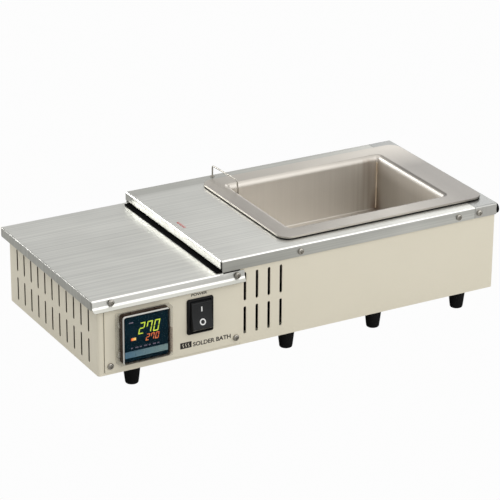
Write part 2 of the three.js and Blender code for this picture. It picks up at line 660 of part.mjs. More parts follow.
add("heat_sink", "aluminium", heatSink());
add("power_relay", "black_plastic", relay());
add("terminal_block", "terminal", terminalBlock());
add("temp_limiter", "terminal", limiter());
add("mains_inlet", "black_plastic", mainsInlet());
add("fuse_holder", "black_plastic", fuseHolder());
add("fuse_cap", "black_plastic", fuseCap());
add("earth_stud", "screw_steel", earthStud());

FOOT.xs.forEach((x, i) => {
  add(`foot_front_${i + 1}`, "rubber", foot(x, FOOT.inset));
  add(`foot_back_${i + 1}`, "rubber", foot(x, BACK - FOOT.inset));
});
add("bumper_front", "rubber", bumper(4.7));
add("bumper_back", "rubber", bumper(BACK - 4.7));

["left", "right"].forEach((end, i) => {
  const [low, high] = [PANEL_SCREWS, COVER_SCREWS];
  add(`panel_screw_${end}`, "screw_steel", screw(low.xs[i], PANEL.front, low.z, -1));
  add(`control_cover_screw_front_${end}`, "screw_steel", screw(high.xs[i], -3.9, high.z, -1));
  add(`control_cover_screw_back_${end}`, "screw_steel", screw(high.xs[i], BACK + 2.5, high.z, 1));
});
for (const [name, y, side] of [["front", -1.3, -1], ["back", BACK + 1.3, 1]]) {
  add(`hot_cover_screw_${name}_left`, "screw_steel", screw(HOT_SCREWS.xs[0], y, HOT_SCREWS.z, side));
  add(`hot_cover_screw_${name}_right`, "screw_steel", screw(HOT_SCREWS.xs[1], y, HOT_SCREWS.z, side));
  add(`end_cover_screw_${name}`, "screw_steel", screw(HOT_SCREWS.end, y, HOT_SCREWS.z, side));
}

const extent = new THREE.Box3().setFromObject(group);
group.position.set(-(extent.min.x + extent.max.x) / 2, -(extent.min.y + extent.max.y) / 2,
  -extent.min.z);
group.updateMatrixWorld(true);

export default group;
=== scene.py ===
"""Looks of a bench-top solder bath: finishes, fine pieces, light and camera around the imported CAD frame.

Sizes are in millimetres in the casing's own frame: X from the control end to the tank end, Y from front
to back, Z up, with the casing's front left bottom corner as the origin. at() turns them into metres in
the row frame. Pieces that stand where a CAD node is take their place from that node's box.
"""
import json
import math

import bmesh
import bpy
from mathutils import Matrix, Vector

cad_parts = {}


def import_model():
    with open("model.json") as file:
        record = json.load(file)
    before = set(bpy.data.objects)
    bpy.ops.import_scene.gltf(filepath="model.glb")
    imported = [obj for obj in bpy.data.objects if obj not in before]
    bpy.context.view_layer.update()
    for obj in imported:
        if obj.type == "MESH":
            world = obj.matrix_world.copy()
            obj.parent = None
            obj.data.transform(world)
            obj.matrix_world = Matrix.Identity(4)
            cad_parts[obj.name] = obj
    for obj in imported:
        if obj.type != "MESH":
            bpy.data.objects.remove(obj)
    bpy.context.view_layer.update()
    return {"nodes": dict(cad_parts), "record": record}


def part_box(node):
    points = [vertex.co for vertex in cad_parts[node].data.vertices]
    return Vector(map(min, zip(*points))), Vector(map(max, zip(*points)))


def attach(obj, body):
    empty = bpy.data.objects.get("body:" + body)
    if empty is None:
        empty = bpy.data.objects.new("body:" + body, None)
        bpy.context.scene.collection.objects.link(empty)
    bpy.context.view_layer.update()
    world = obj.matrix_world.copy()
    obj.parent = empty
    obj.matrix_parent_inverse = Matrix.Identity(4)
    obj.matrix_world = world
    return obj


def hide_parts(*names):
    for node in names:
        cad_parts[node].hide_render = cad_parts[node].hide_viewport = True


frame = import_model()

MM = 0.001
NODES = frame["nodes"]
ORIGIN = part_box("control_wrap")[0]  # the casing's front left bottom corner
ROW_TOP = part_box("tank")[1].z  # height of the tank flange's face

# ---- driving dimensions, in millimetres ------------------------------------------------
PANEL_FRONT = -1.25
DIN = {"x": 46.6, "z": 37.0, "half": 24.0, "face": -10.0}
DIN_WINDOW_LOW = 24.5  # where the display stops and the key band starts
DIN_BAND = (17.7, 24.2)
KEY_OFFSETS = (-15.9, -5.3, 5.3, 15.9)
DOOR = {"half": 25.4, "back": -3.1, "front": -11.4, "wall": 0.9}
HINGE = {"x": 19.4, "y": -4.3, "r": 1.1, "zs": (18.0, 49.0)}
SWITCH = {"x": 108.6, "z": 42.4, "w": 28.7, "h": 36.9, "pivot_y": 2.0, "r": 16.2, "middle": 8.0,
          "half": 10.9, "swing": 20.0}
TANK = {"x0": 231.4, "x1": 411.2, "y0": 37.4, "y1": 164.3, "floor": 36.5, "wall": 2.0,
        "bend": 6.0, "corner": 2.0}
FLANGE = {"x0": 209.0, "x1": 447.6, "y0": 14.0, "y1": 188.0, "top": 96.6, "corner": 13.0}
PROBE = {"x": 231.5, "y": 201.3, "r": 0.8, "low": 30.0, "bridge": 105.4, "tip_y": 153.6, "tip_z": 47.0}


def at(x, y, z):
    """A place given in the casing's own frame, in the row frame."""
    return ORIGIN + Vector((x, y, z)) * MM


def row_x(x):
    return at(x, 0, 0).x


def row_y(y):
    return at(0, y, 0).y


def row_z(z):
    return at(0, 0, z).z


def own_box(node):
    """Lowest and highest corner of a CAD node in the casing's own frame, in millimetres."""
    low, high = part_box(node)
    return (low - ORIGIN) / MM, (high - ORIGIN) / MM


# ---- procedural materials --------------------------------------------------------------
def linear(r, g, b):
    """A colour given as 0 to 255 screen values, as the renderer's linear colour."""
    def one(value):
        v = value / 255
        return v / 12.92 if v <= 0.04045 else ((v + 0.055) / 1.055) ** 2.4
    return (one(r), one(g), one(b), 1.0)


UNLIT = (0.01, 0.01, 0.01, 1)  # what lit print looks like with its light off


class Finish:
    """A Principled material and the nodes of its texture, in metres of the row frame."""

    def __init__(self, name, roughness, metallic=0.0, **uniform):
        self.material = bpy.data.materials.new(name)
        self.material.use_nodes = True
        self.tree = self.material.node_tree
        self.shader = self.tree.nodes["Principled BSDF"]
        self.shader.inputs["Roughness"].default_value = roughness
        self.shader.inputs["Metallic"].default_value = metallic
        for label, value in uniform.items():
            self.shader.inputs[label].default_value = value
        self.height = None
        self.place = self.node("ShaderNodeTexCoord").outputs["Object"]

    def node(self, kind, **settings):
        made = self.tree.nodes.new(kind)
        for key, value in settings.items():
            setattr(made, key, value)
        return made

    def link(self, source, target):
        self.tree.links.new(source, target)

    def value(self, operation, a, b=None, clamp=False):
        made = self.node("ShaderNodeMath", operation=operation, use_clamp=clamp)
        for socket, item in zip(made.inputs, (a, b)):
            if item is None:
                continue
            if isinstance(item, (int, float)):
                socket.default_value = item
            else:
                self.link(item, socket)
        return made.outputs[0]

    def times(self, a, b):
        return self.value("MULTIPLY", a, b)

    def most(self, a, b):
        return self.value("MAXIMUM", a, b)

    def stretched(self, x, y, z):
        made = self.node("ShaderNodeMapping")
        made.inputs["Scale"].default_value = (x, y, z)
        self.link(self.place, made.inputs["Vector"])
        return made.outputs[0]

    def noise(self, scale, detail=2.0, roughness=0.5, place=None):
        made = self.node("ShaderNodeTexNoise")
        made.inputs["Scale"].default_value = scale
        made.inputs["Detail"].default_value = detail
        made.inputs["Roughness"].default_value = roughness
        self.link(place or self.place, made.inputs["Vector"])
        return made.outputs["Fac"]

    def ramp(self, fac, low, high, out_low=0.0, out_high=1.0):
        made = self.node("ShaderNodeMapRange")
        for label, value in (("From Min", low), ("From Max", high),
                             ("To Min", out_low), ("To Max", out_high)):
            made.inputs[label].default_value = value
        self.link(fac, made.inputs["Value"])
        return made.outputs["Result"]

    def mixed(self, fac, first, second, blend="MIX"):
        made = self.node("ShaderNodeMix", data_type="RGBA", blend_type=blend)
        for socket, item in ((made.inputs[6], first), (made.inputs[7], second)):
            if isinstance(item, tuple):
                socket.default_value = item
            else:
                self.link(item, socket)
        self.link(fac, made.inputs[0])
        return made.outputs[2]

    def base(self):
        """What feeds the base colour so far."""
        return self.shader.inputs["Base Color"].links[0].from_socket

    def normal(self):
        return self.node("ShaderNodeNewGeometry").outputs["Normal"]

    def glows(self, tone, strength):
        self.shader.inputs["Base Color"].default_value = UNLIT
        self.link(tone, self.shader.inputs["Emission Color"])
        self.shader.inputs["Emission Strength"].default_value = strength

    def colour(self, source):
        self.link(source, self.shader.inputs["Base Color"])

    def rough(self, source):
        self.link(source, self.shader.inputs["Roughness"])

    def bump(self, fac, depth, strength=1.0):
        made = self.node("ShaderNodeBump")
        made.inputs["Distance"].default_value = depth
        made.inputs["Strength"].default_value = strength
        self.link(fac, made.inputs["Height"])
        if self.height is not None:
            self.link(self.height, made.inputs["Normal"])
        self.height = made.outputs[0]
        self.link(self.height, self.shader.inputs["Normal"])

    def axis(self, index, source=None):
        made = self.node("ShaderNodeSeparateXYZ")
        self.link(source or self.place, made.inputs[0])
        return made.outputs[index]

    def near(self, index, centre, width):
        """1 where a coordinate is at centre, falling to 0 a width away."""
        off = self.value("ABSOLUTE", self.value("SUBTRACT", self.axis(index), centre))
        return self.ramp(off, 0, width, 1, 0)


def enamel():
    f = Finish("cream_enamel", 0.4)
    broad = f.noise(9, 3)
    paint = f.mixed(broad, linear(223, 216, 196), linear(230, 223, 204))
    # painted shade: the walls of the slots in the left end are painted dark, as they stand in shadow
    sheet = f.near(0, row_x(0.55), 0.0004)
    short_of_the_corners = f.near(1, row_y(102), 0.2)
    slot_wall_painted_shade = f.times(f.value("GREATER_THAN", sheet, 0.02),
                     f.value("GREATER_THAN", short_of_the_corners, 0.505))
    f.colour(f.mixed(slot_wall_painted_shade, paint, linear(74, 66, 52)))
    f.rough(f.ramp(f.noise(60, 3), 0.3, 0.7, 0.36, 0.46))
    f.bump(f.noise(900, 2, 0.55), 0.00002, 0.5)
    return f.material


STRETCH = 0.006  # how much the grain is drawn out along a brushed line


def brushed(name, dark, light, rough, along, grain=1.0):
    """Stainless sheet brushed along one axis. On faces square to that axis the lines run down."""
    f = Finish(name, sum(rough) / 2, 1.0)
    facing = f.ramp(f.value("ABSOLUTE", f.axis(along, f.normal())), 0.6, 0.8)
    lengthwise = [1.0, 1.0, 1.0]
    lengthwise[along] = STRETCH
    lines = f.node("ShaderNodeMix", data_type="VECTOR")
    f.link(facing, lines.inputs[0])
    f.link(f.stretched(*lengthwise), lines.inputs[4])
    f.link(f.stretched(1, 1, STRETCH), lines.inputs[5])
    place = lines.outputs[1]
    fine = f.noise(2600, 2, 0.6, place)
    bold = f.noise(520, 3, 0.6, place)
    broad = f.noise(14, 2)
    streaks = f.value("ADD", f.times(bold, 0.7), f.times(broad, 0.3))
    f.colour(f.mixed(f.ramp(streaks, 0.3, 0.7), dark, light))
    f.rough(f.ramp(bold, 0.3, 0.7, *rough))
    f.bump(fine, 0.000004, 0.6 * grain)
    f.bump(bold, 0.000012, 0.5 * grain)
    return f


def cover_steel():
    """The covers: bright brushed sheet, with painted reflection on the front flanges, painted shade on the
    lip and some flanges, and painted highlights on the bends.
    """
    f = brushed("brushed_stainless", linear(192, 192, 187), linear(226, 226, 220), (0.3, 0.42), 0)
    # painted shade on the lip, darkened below with the other shaded parts
    lip_painted_shade = f.ramp(f.axis(1), row_y(-3.4), row_y(-4.8))
    # painted reflection: the front flanges lightened towards white, most at the left
    apron_painted_reflection = f.times(f.ramp(f.axis(1), row_y(-2.2), row_y(-2.4)),
                    f.ramp(f.axis(0), row_x(60), row_x(140), 0.45, 0.1))
    sheet = f.mixed(apron_painted_reflection, f.base(), linear(250, 249, 244))
    # painted shade on the hot cover's front flange, darkest at its left
    front = f.times(f.ramp(f.axis(1), row_y(-0.9), row_y(-1.2)),
                    f.ramp(f.axis(0), row_x(150), row_x(300), 0.6, 0))
    # painted shade along the back strip of the hot cover's top
    rear = f.ramp(f.axis(1), row_y(184), row_y(191), 0, 0.55)
    on_hot_cover = f.value("GREATER_THAN", f.axis(2), row_z(81.15))
    # painted shade on the control cover's left flange
    left_flange_painted_shade = f.value("LESS_THAN", f.axis(0), row_x(-6.4))
    shaded = f.most(f.times(f.most(front, rear), on_hot_cover), f.times(left_flange_painted_shade, 0.6))
    sheet = f.mixed(f.most(lip_painted_shade, shaded), sheet, (0.56, 0.56, 0.54, 1), "MULTIPLY")
    # painted highlight on the bends along the tops, the front ones a little dimmer; the bends are also
    # smoother, the front ones a little less
    rise = f.axis(2, f.normal())
    bends_gloss_and_painted_highlight = f.times(f.ramp(rise, 0.2, 0.4), f.ramp(rise, 0.9, 0.99, 1, 0))
    bends_gloss_and_painted_highlight = f.times(bends_gloss_and_painted_highlight, f.value("SUBTRACT", 1, lip_painted_shade))
    front_bends_gloss_and_painted_highlight = f.times(bends_gloss_and_painted_highlight, f.value("LESS_THAN", f.axis(1), row_y(0)))
    other_bends_gloss_and_painted_highlight = f.value("SUBTRACT", bends_gloss_and_painted_highlight, front_bends_gloss_and_painted_highlight)
    f.colour(f.mixed(front_bends_gloss_and_painted_highlight, f.mixed(other_bends_gloss_and_painted_highlight, sheet, linear(242, 241, 236)), linear(232, 231, 226)))
    f.rough(f.value("ADD", f.ramp(other_bends_gloss_and_painted_highlight, 0, 1, 0.36, 0.2), f.ramp(front_bends_gloss_and_painted_highlight, 0, 1, 0, -0.08)))
    return f.material


def end_steel():
    """The end cover: a darker top, with painted light on its sides."""
    f = brushed("end_stainless", linear(150, 151, 149), linear(172, 173, 170), (0.3, 0.42), 1)
    # painted light: faces that turn away from up are lightened
    side = f.ramp(f.axis(2, f.normal()), 0.3, 0.7, 1, 0)
    f.colour(f.mixed(f.times(side, 0.6), f.base(), linear(226, 224, 218)))
    return f.material


def tank_rim(f):
    """The flange: painted shade towards the right, painted light towards the back."""
    rim = f.mixed(f.ramp(f.noise(30, 3), 0.3, 0.7), linear(166, 161, 153), linear(177, 172, 164))
    # painted shade towards the right of the flange
    rim = f.mixed(f.ramp(f.axis(0), row_x(340), row_x(430), 0, 0.9), rim, linear(124, 120, 115))
    # painted light towards the back of the flange
    return f.mixed(f.ramp(f.axis(1), row_y(120), row_y(180), 0, 0.7), rim, linear(206, 200, 190))


def tank_well(f):
    """The well: painted light low on the left and high on the right, brown heat tint at the back right
    corner.
    """
    height = f.axis(2)
    right, back = TANK["x1"], TANK["y1"]
    # painted light on the lower left of the well
    low_left_painted_light = f.times(f.ramp(f.axis(0), row_x(TANK["x0"]), row_x(right - 20), 1, 0),
                       f.ramp(height, row_z(TANK["floor"]), row_z(92), 1, 0.5))
    well = f.mixed(low_left_painted_light, f.base(), linear(230, 225, 217))
    # painted light high on the right wall of the well
    high_right_painted_light = f.times(f.near(0, row_x(right), 0.006), f.ramp(height, row_z(76), row_z(92), 0, 0.9))
    well = f.mixed(high_right_painted_light, well, linear(236, 232, 225))
    corner = f.times(f.near(0, row_x(right), 0.012), f.near(1, row_y(back), 0.012))
    low = f.ramp(height, row_z(TANK["floor"]), row_z(TANK["floor"] + 26), 1, 0.25)
    tint = f.times(f.times(corner, low), 0.75)
    runs = f.ramp(f.noise(110, 2, 0.5, f.stretched(1, 1, 0.03)), 0.45, 0.65, 0, 0.4)
    band = f.times(runs, f.times(f.near(0, row_x(right - 12), 0.022), f.near(1, row_y(back), 0.004)))
    return f.mixed(f.most(tint, band), well, linear(118, 84, 54))


def tank_steel():
    """Dull bead-blasted well under a brighter rim."""
    f = brushed("tank_stainless", linear(200, 195, 187), linear(207, 202, 194), (0.5, 0.6), 2, 0.3)
    top = f.ramp(f.axis(2), ROW_TOP - 0.004, ROW_TOP - 0.0005)
    f.colour(f.mixed(top, tank_well(f), tank_rim(f)))
    f.rough(f.ramp(top, 0, 1, 0.55, 0.3))
    return f.material


def zinc():
    f = Finish("zinc_plate", 0.42, 1.0)
    flakes = f.node("ShaderNodeTexVoronoi", feature="F1")
    flakes.inputs["Scale"].default_value = 180
    f.link(f.place, flakes.inputs["Vector"])
    tone = f.axis(0, flakes.outputs["Color"])
    f.colour(f.mixed(tone, linear(96, 98, 92), linear(122, 124, 116)))
    f.rough(f.ramp(tone, 0, 1, 0.36, 0.52))
    return f.material


def mottled(name, dark, light, rough, metallic=0.0, grain=1200, depth=0.00001, scale=25, **uniform):
    """Moulded, cast or printed surface: a little colour drift, uneven gloss and fine grain."""
    f = Finish(name, sum(rough) / 2, metallic, **uniform)
    f.colour(f.mixed(f.ramp(f.noise(scale, 3), 0.35, 0.65), dark, light))
    f.rough(f.ramp(f.noise(scale * 4, 3), 0.3, 0.7, *rough))
    f.bump(f.noise(grain, 2), depth, 0.6)
    return f.material


def glow(name, dark, light, strength):
    """Lit print."""
    f = Finish(name, 0.4)
    f.glows(f.mixed(f.ramp(f.noise(260, 2), 0.35, 0.65), dark, light), strength)
    return f.material


def across(name, left, right, x0, x1, strength=0.0):
    """A colour that drifts along X between two places given in the own frame, lit if strength is set."""
    f = Finish(name, 0.4, IOR=1.3)
    drift = f.ramp(f.axis(0), row_x(x0), row_x(x1))
    grain = f.ramp(f.noise(700, 3), 0.3, 0.7, -0.15, 0.15)
    tone = f.mixed(f.value("ADD", drift, grain, clamp=True), left, right)
    if strength:
        f.glows(tone, strength)
    else:
        f.colour(tone)
    return f.material


def clear(name, tint, alpha, roughness=0.06, ior=1.45):
    """Clear plastic with a slight drift in tint and gloss."""
    f = Finish(name, roughness, Alpha=alpha, IOR=ior)
    deeper = tuple(0.93 * c for c in tint[:3]) + (1,)
    f.colour(f.mixed(f.ramp(f.noise(40, 2), 0.35, 0.65), tint, deeper))
    f.rough(f.ramp(f.noise(150, 3), 0.35, 0.7, roughness * 0.8, roughness * 1.5))
    return f.material


FINISH = {
    "cream_paint": enamel(),
    "cover_steel": cover_steel(),
    "tank_steel": tank_steel(),
    "zinc_sheet": zinc(),
    # a black sheet, partly painted shade: it is made darker than black paint to stand for the shade in the
    # gaps it sits in
    "black_sheet": mottled("black_sheet", linear(3, 3, 3), linear(7, 7, 7), (0.8, 0.95), IOR=1.15),
    "insulation": mottled("ceramic_wool", linear(206, 198, 178), linear(222, 215, 198), (0.9, 1.0),
                          grain=700, depth=0.0004),
    "black_plastic": mottled("black_abs", linear(6, 6, 7), linear(12, 12, 13), (0.4, 0.55), IOR=1.3),
    "screen": mottled("screen", linear(2, 22, 32), linear(6, 32, 42), (0.12, 0.2),
                      depth=0.000002, IOR=1.15),
    "key_band": across("key_band", linear(84, 118, 138), linear(124, 148, 148),
                       DIN["x"] - 20, DIN["x"] + 18),
    "clear_plastic": clear("clear_plastic", linear(216, 212, 198), 0.25),
    "rubber": mottled("rubber", linear(4, 4, 4), linear(9, 9, 9), (0.75, 0.9), depth=0.00002, IOR=1.3),
    "screw_steel": mottled("screw_chrome", linear(158, 154, 146), linear(184, 180, 172),
                           (0.18, 0.28), 1.0),
    "probe_steel": mottled("probe_steel", linear(172, 168, 160), linear(196, 192, 184),
                           (0.24, 0.36), 1.0),
    "aluminium": mottled("aluminium", linear(180, 182, 184), linear(204, 206, 208), (0.35, 0.5), 1.0),
    "terminal": mottled("terminal", linear(208, 204, 192), linear(220, 216, 204), (0.5, 0.65)),
}
END_STEEL = end_steel()
INK_DARK = mottled("ink_dark", linear(26, 20, 17), linear(38, 30, 26), (0.5, 0.6))
INK_WHITE = mottled("ink_white", linear(214, 214, 212), linear(232, 232, 230), (0.5, 0.6))
INK_RED = mottled("ink_red", linear(190, 60, 60), linear(206, 84, 80), (0.5, 0.6))
INK_LEGEND = mottled("ink_legend", linear(104, 92, 116), linear(134, 122, 140), (0.5, 0.6))
LED_GREEN = glow("led_green", linear(190, 214, 40), linear(214, 232, 70), 1.0)
LED_RED = glow("led_red", linear(222, 92, 36), linear(240, 132, 62), 1.0)
LAMP = across("lamp_amber", linear(232, 92, 44), linear(255, 220, 120), 30.5, 35.5, 1.05)
WELD = mottled("weld_bead", linear(206, 190, 166), linear(230, 218, 200), (0.3, 0.45), 0.5, scale=90)
PADDLE = mottled("paddle_black", linear(22, 23, 24), linear(34, 35, 36), (0.4, 0.55),
                 depth=0.00002, IOR=1.35)
PANE = clear("clear_pane", linear(70, 90, 100), 0.02, 0.06, 1.15)
# painted highlight: pale, nearly opaque faces on the clear door's top and left front edges
EDGE_PAINTED_HIGHLIGHT = clear("clear_edge_painted_highlight", linear(226, 226, 220), 0.8, 0.2)
LATCH = clear("clear_latch", linear(150, 128, 112), 0.4, 0.15, 1.3)
SMOKE = clear("clear_wall", linear(66, 52, 44), 0.72, 0.15, 1.3)


# ---- mesh helpers ----------------------------------------------------------------------
SHARP = 35  # an edge sharper than this many degrees stays an edge
MERGE = 1e-7  # points closer than this, in metres, are one


def shade(mesh, degrees=SHARP):
    mesh.polygons.foreach_set("use_smooth", [True] * len(mesh.polygons))
    mesh.set_sharp_from_angle(angle=math.radians(degrees))


def add_bevel(obj, width, harden=True):
    bevel = obj.modifiers.new("bevel", "BEVEL")
    bevel.width = width * MM
    bevel.segments = 2
    bevel.limit_method = "ANGLE"
    bevel.angle_limit = math.radians(SHARP)
    bevel.harden_normals = harden
    bevel.miter_outer = "MITER_ARC"


def flatten(obj):
    """Keeps flat faces flat and lets only the bends and edges turn the light."""
    weighted = obj.modifiers.new("weighted", "WEIGHTED_NORMAL")
    weighted.mode = "FACE_AREA"
    weighted.weight = 80
    weighted.keep_sharp = True
    return obj


def linked(name, data):
    """A new object in the scene."""
    obj = bpy.data.objects.new(name, data)
    bpy.context.scene.collection.objects.link(obj)
    return obj


def result_mesh(obj):
    """An object's shape after its modifiers, as a new mesh."""
    return bpy.data.meshes.new_from_object(obj.evaluated_get(bpy.context.evaluated_depsgraph_get()))


def mesh_of(curve):
    holder = linked(curve.name, curve)
    mesh = result_mesh(holder)
    bpy.data.objects.remove(holder)
    return mesh


def outward(mesh, merge=False):
    """Turns every face outwards, after merging points that coincide if asked to."""
    bm = bmesh.new()
    bm.from_mesh(mesh)
    if merge:
        bmesh.ops.remove_doubles(bm, verts=bm.verts, dist=MERGE)
    bmesh.ops.recalc_face_normals(bm, faces=bm.faces)
    bm.to_mesh(mesh)
    bm.free()
    return mesh


def mesh_from(name, verts, faces):
    """A mesh from points in millimetres of the own frame."""
    mesh = bpy.data.meshes.new(name)
    mesh.from_pydata([at(*v) for v in verts], [], faces)
    return mesh


def piece(name, verts, faces, material, body="bath", stands_for=(), bevel=0.0, smooth=SHARP):
    """A piece from points in millimetres of the own frame."""
    mesh = outward(mesh_from(name, verts, faces), merge=True)
    return dressed(name, mesh, material, body, stands_for, bevel, smooth)


def dressed(name, mesh, material, body="bath", stands_for=(), bevel=0.0, smooth=SHARP):
    """A piece from a mesh, with its finish, riding its body and standing for CAD nodes."""
    shade(mesh, smooth)
    mesh.materials.clear()
    mesh.materials.append(material)
    obj = linked(name, mesh)
    if bevel:
        add_bevel(obj, bevel)
    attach(obj, body)
    if stands_for:
        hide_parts(*stands_for)
    return obj


def ring_points(x0, x1, y0, y1, r, steps):
    """A rounded rectangle, anticlockwise."""
    points = []
    corners = ((x1 - r, y0 + r, -90), (x1 - r, y1 - r, 0), (x0 + r, y1 - r, 90), (x0 + r, y0 + r, 180))
    for cx, cy, start in corners:
        for k in range(steps + 1):
            a = math.radians(start + 90 * k / steps)
            points.append((cx + r * math.cos(a), cy + r * math.sin(a)))
    return points


def belt(first, second, n):
    """Faces between two rings of n points, given the number of each ring's first point."""
    return [(first + i, first + (i + 1) % n, second + (i + 1) % n, second + i) for i in range(n)]


def loft(rings):
    """Faces over a stack of equal rings, capped at both ends."""
    n = len(rings[0])
    verts = [p for r in rings for p in r]
    last = (len(rings) - 1) * n
    faces = [face for start in range(0, last, n) for face in belt(start, start + n, n)]
    faces.append(tuple(range(n - 1, -1, -1)))
    faces.append(tuple(range(last, last + n)))
    return verts, faces


def turned(profile, centre, axis="z", sign=1, segments=48):
    """A turned piece: (radius, height) pairs along an axis from centre, starting and ending on the axis."""
    rings = [[placed(centre, axis, sign, u, v, h) for u, v in circle(0, 0, r, segments)]
             for r, h in profile[1:-1]]
    verts, faces = loft(rings)
    del faces[-2:]  # the flat caps give way to cones down to the axis
    low, high = len(verts), len(verts) + 1
    verts.append(placed(centre, axis, sign, 0, 0, profile[0][1]))
    verts.append(placed(centre, axis, sign, 0, 0, profile[-1][1]))
    last = (len(rings) - 1) * segments
    for i in range(segments):
        faces.append((low, (i + 1) % segments, i))
        faces.append((high, last + i, last + (i + 1) % segments))
    return verts, faces


def placed(centre, axis, sign, u, v, h):
    """The point at u, v off an axis through centre, and h along it."""
    x, y, z = centre
    if axis == "z":
        return (x + u, y + v, z + sign * h)
    if axis == "y":
        return (x + u, y + sign * h, z + v)
    return (x + sign * h, y + u, z + v)


def plate(outlines, a, b, axis="y", rim=0.0):
    """A flat plate as a mesh: closed outlines, the first outside and the rest holes, from a to b on an axis.

    rim rounds its edges. The outlines are (x, z) for axis y, (x, y) for axis z and (y, z) for axis x."""
    curve = bpy.data.curves.new("plate", "CURVE")
    curve.dimensions = "2D"
    curve.fill_mode = "BOTH"
    curve.extrude = (abs(b - a) / 2 - rim) * MM
    curve.bevel_depth = rim * MM
    curve.bevel_resolution = 2
    curve.offset = -rim * MM
    for outline in outlines:
        spline = curve.splines.new("POLY")
        spline.points.add(len(outline) - 1)
        for point, (u, v) in zip(spline.points, outline):
            point.co = (u * MM, v * MM, 0, 1)
        spline.use_cyclic_u = True
    mesh = mesh_of(curve)
    middle = (a + b) / 2 * MM
    turn = {
        "z": Matrix(((1, 0, 0, 0), (0, 1, 0, 0), (0, 0, 1, middle), (0, 0, 0, 1))),
        "y": Matrix(((1, 0, 0, 0), (0, 0, -1, middle), (0, 1, 0, 0), (0, 0, 0, 1))),
        "x": Matrix(((0, 0, 1, middle), (1, 0, 0, 0), (0, 1, 0, 0), (0, 0, 0, 1))),
    }[axis]
    mesh.transform(Matrix.Translation(ORIGIN) @ turn)
    return outward(mesh, merge=True)


def joined(meshes):
    """Several separate closed bodies as one mesh."""
    bm = bmesh.new()
    for mesh in meshes:
        bm.from_mesh(mesh)
    out = bpy.data.meshes.new("joined")
    bm.to_mesh(out)
    bm.free()
    return out


def circle(cx, cy, r, steps=32):
    return [(cx + r * math.cos(2 * math.pi * i / steps), cy + r * math.sin(2 * math.pi * i / steps))
            for i in range(steps)]


def carve(obj, verts, faces):
    """Cuts a closed body out of a piece."""
    cutter = linked("cutter", outward(mesh_from("cutter", verts, faces)))
    cut = obj.modifiers.new("cut", "BOOLEAN")
    cut.object = cutter
    cut.solver = "EXACT"
    result = result_mesh(obj)
    obj.modifiers.clear()
    obj.data = result
    shade(result)
    bpy.data.objects.remove(cutter)


def box_loft(x0, x1, y0, y1, z0, z1):
    corners = ((x0, y0), (x1, y0), (x1, y1), (x0, y1))
    return loft([[(x, y, z) for x, y in corners] for z in (z0, z1)])


# ---- CAD nodes that stay: finish and softened edges --------------------------------------
EDGE_BREAK = 0.12


def keep_cad_nodes():
    for part in frame["record"]["subparts"]:
        obj = NODES[part["node"]]
        mesh = obj.data
        mesh.materials.clear()
        mesh.materials.append(END_STEEL if part["node"] == "end_cover" else FINISH[part["material_slot"]])
        if "custom_normal" in mesh.attributes:
            mesh.attributes.remove(mesh.attributes["custom_normal"])
        mesh.polygons.foreach_set("use_smooth", [True] * len(mesh.polygons))
        weld = obj.modifiers.new("weld", "WELD")
        weld.merge_threshold = 1e-6
        if part["node"].endswith("_wrap"):
            split = obj.modifiers.new("split", "EDGE_SPLIT")
            split.split_angle = math.radians(SHARP)
            weighted = obj.modifiers.new("weighted", "WEIGHTED_NORMAL")
            weighted.mode = "FACE_AREA_WITH_ANGLE"
            continue
        flat = obj.modifiers.new("flat", "DECIMATE")
        flat.decimate_type = "DISSOLVE"
        flat.angle_limit = math.radians(0.5)
        add_bevel(obj, EDGE_BREAK, harden=False)
        flatten(obj)


# ---- fasteners, feet and bumpers --------------------------------------------------------
def quarter(steps):
    """Angles over a quarter turn, without the first."""
    return [math.radians(90 * k / steps) for k in range(1, steps + 1)]


SHANK = {"r": 1.4, "length": 1.5}
RECESS = {"reach": 0.62, "half": 0.42}  # reach as a share of the head's radius


def pan_head(node):
    """A pan-head screw with a cross recess, in the place of a CAD screw on the front or the back."""
    low, high = own_box(node)
    centre = (low + high) / 2
    side = -1 if centre.y < 100 else 1
    inner, tip = (high.y, low.y) if side < 0 else (low.y, high.y)
    face = inner + side * SHANK["length"]
    rise = abs(tip - face)
    r = (high.x - low.x) / 2
    skirt = 0.42  # share of the head's height that stands straight
    profile = [(0, -SHANK["length"]), (SHANK["r"], -SHANK["length"]), (SHANK["r"], 0), (r, 0)]
    profile.append((r, rise * skirt))
    profile += [(r * math.cos(a), rise * (skirt + (1 - skirt) * math.sin(a))) for a in quarter(6)[:-1]]
    profile.append((0, rise))
    verts, faces = turned(profile, (centre.x, face, centre.z), "y", side, 32)
    obj = piece(node + "_fine", verts, faces, FINISH["screw_steel"], stands_for=(node,),
                smooth=40)
    near, far = sorted((face + side * rise * skirt, face + side * (rise + 1)))
    reach, half = r * RECESS["reach"], RECESS["half"]
    for wide, tall in ((reach, half), (half, reach)):
        carve(obj, *box_loft(centre.x - wide, centre.x + wide, near, far, centre.z - tall, centre.z + tall))


def foot(node):
    """A tapered rubber foot with a rounded sole."""
    low, high = own_box(node)
    centre = (low + high) / 2
    height, top = high.z - low.z, (high.x - low.x) / 2
    base = top * 0.8
    sole, rim = 1.4, 0.3  # rounding at the sole and at the top
    profile = [(0, 0), (base - sole, 0)]
    profile += [(base - sole + sole * math.sin(a), sole - sole * math.cos(a)) for a in quarter(5)]
    profile += [(base + (top - base) * (t ** 0.9), sole + (height - 3.0) * t) for t in (0.3, 0.6, 0.85, 1)]
    profile += [(top, height - rim), (top - rim, height), (0, height)]
    verts, faces = turned(profile, (centre.x, centre.y, low.z))
    piece(node + "_fine", verts, faces, FINISH["rubber"], stands_for=(node,))


